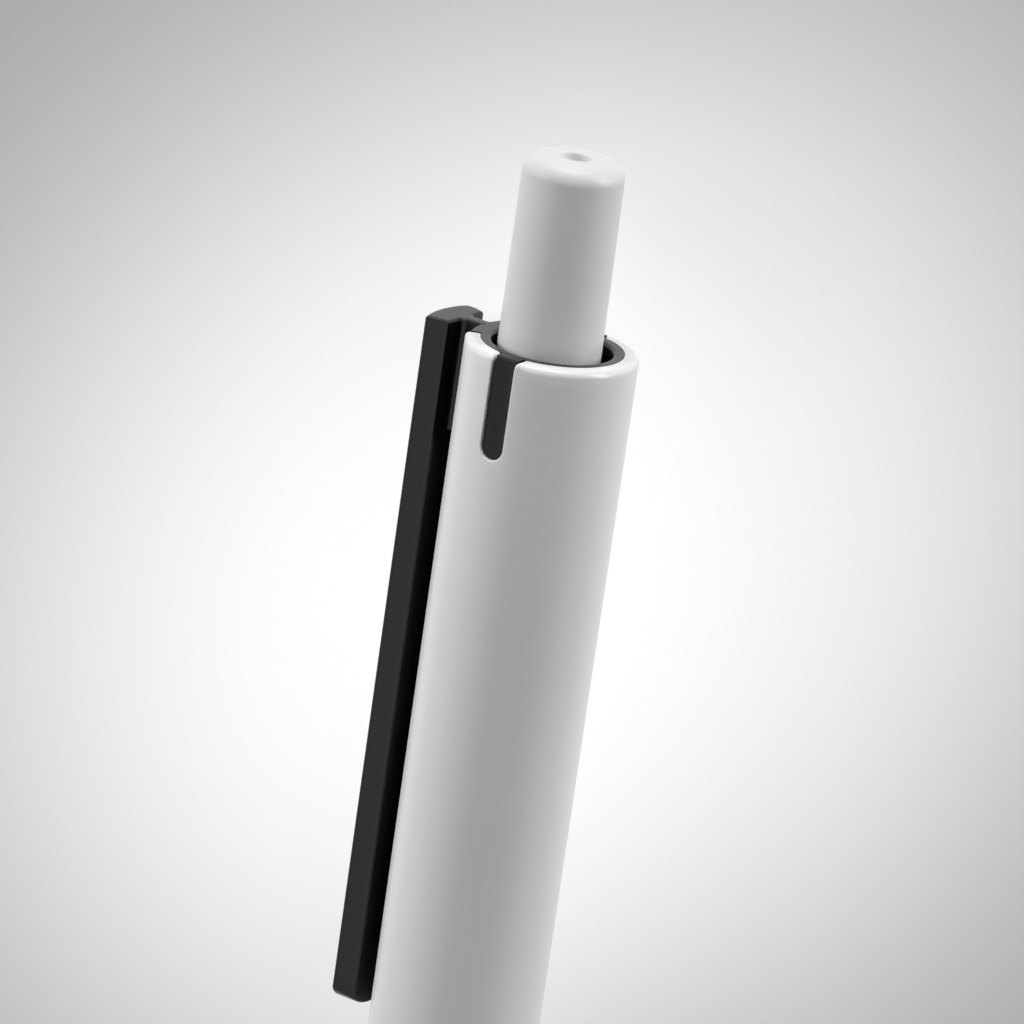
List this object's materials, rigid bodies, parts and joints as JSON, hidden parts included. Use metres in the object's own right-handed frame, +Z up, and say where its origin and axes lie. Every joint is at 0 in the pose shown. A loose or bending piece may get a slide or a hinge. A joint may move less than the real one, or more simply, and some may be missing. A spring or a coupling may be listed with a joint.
{
  "type": "retractable ballpoint pen",
  "caption": "Slim click ballpoint pen, white barrel with a push button and a dark sprung pocket clip, retracted and lying on its side.",
  "frame": {"origin": "under the middle of the pen's length and width, on the desk it lies on", "axes": "+X along the pen from the writing tip to the push button, +Z up from the desk, +Y to the side where the clip touches the desk"},
  "size_m": [0.142, 0.0132, 0.0105],
  "materials": {
    "white_shell": "gloss white moulded ABS",
    "white_button": "gloss white moulded plastic",
    "dark_clip": "satin charcoal moulded plastic",
    "cam_plastic": "natural satin acetal, dark",
    "refill_plastic": "translucent polypropylene",
    "ink": "blue-black ink paste",
    "point_metal": "turned brass",
    "ball_metal": "polished carbide ball",
    "spring_steel": "drawn spring wire"
  },
  "bodies": {
    "housing": {"barrel": "white_shell", "nose_cone": "white_shell", "clip_sleeve": "dark_clip", "return_spring": "spring_steel"},
    "clip": {"clip_arm": "dark_clip"},
    "button": {"push_button": "white_button"},
    "refill": {"cam": "cam_plastic", "refill_tube": "refill_plastic", "ink_column": "ink", "ball_point": "point_metal"},
    "ball": {"writing_ball": "ball_metal"}
  },
  "joints": [
    {"name": "button_slide", "type": "slide", "parent": "housing", "child": "button", "axis": [-1, 0, 0], "range_m": [0, 0.0075], "stiffness_N_per_m": 300, "springref_m": -0.005},
    {"name": "refill_slide", "type": "slide", "parent": "housing", "child": "refill", "axis": [-1, 0, 0], "range_m": [0, 0.0075], "deforming": ["return_spring"]},
    {"name": "clip_flex", "type": "hinge", "parent": "housing", "child": "clip", "pos_m": [0.05938, 0.00434, 0.00259], "axis": [0, -0.4226, -0.9063], "range_deg": [0, 3], "stiffness_Nm_per_rad": 1.9},
    {"name": "ball_roll", "type": "hinge", "parent": "refill", "child": "ball", "pos_m": [-0.06818, -0.00137, 0.00525], "axis": [0, 1, 0], "continuous": true}
  ],
  "couplings": [
    {"joint": "refill_slide", "follows": "button_slide", "ratio": 1}
  ]
}
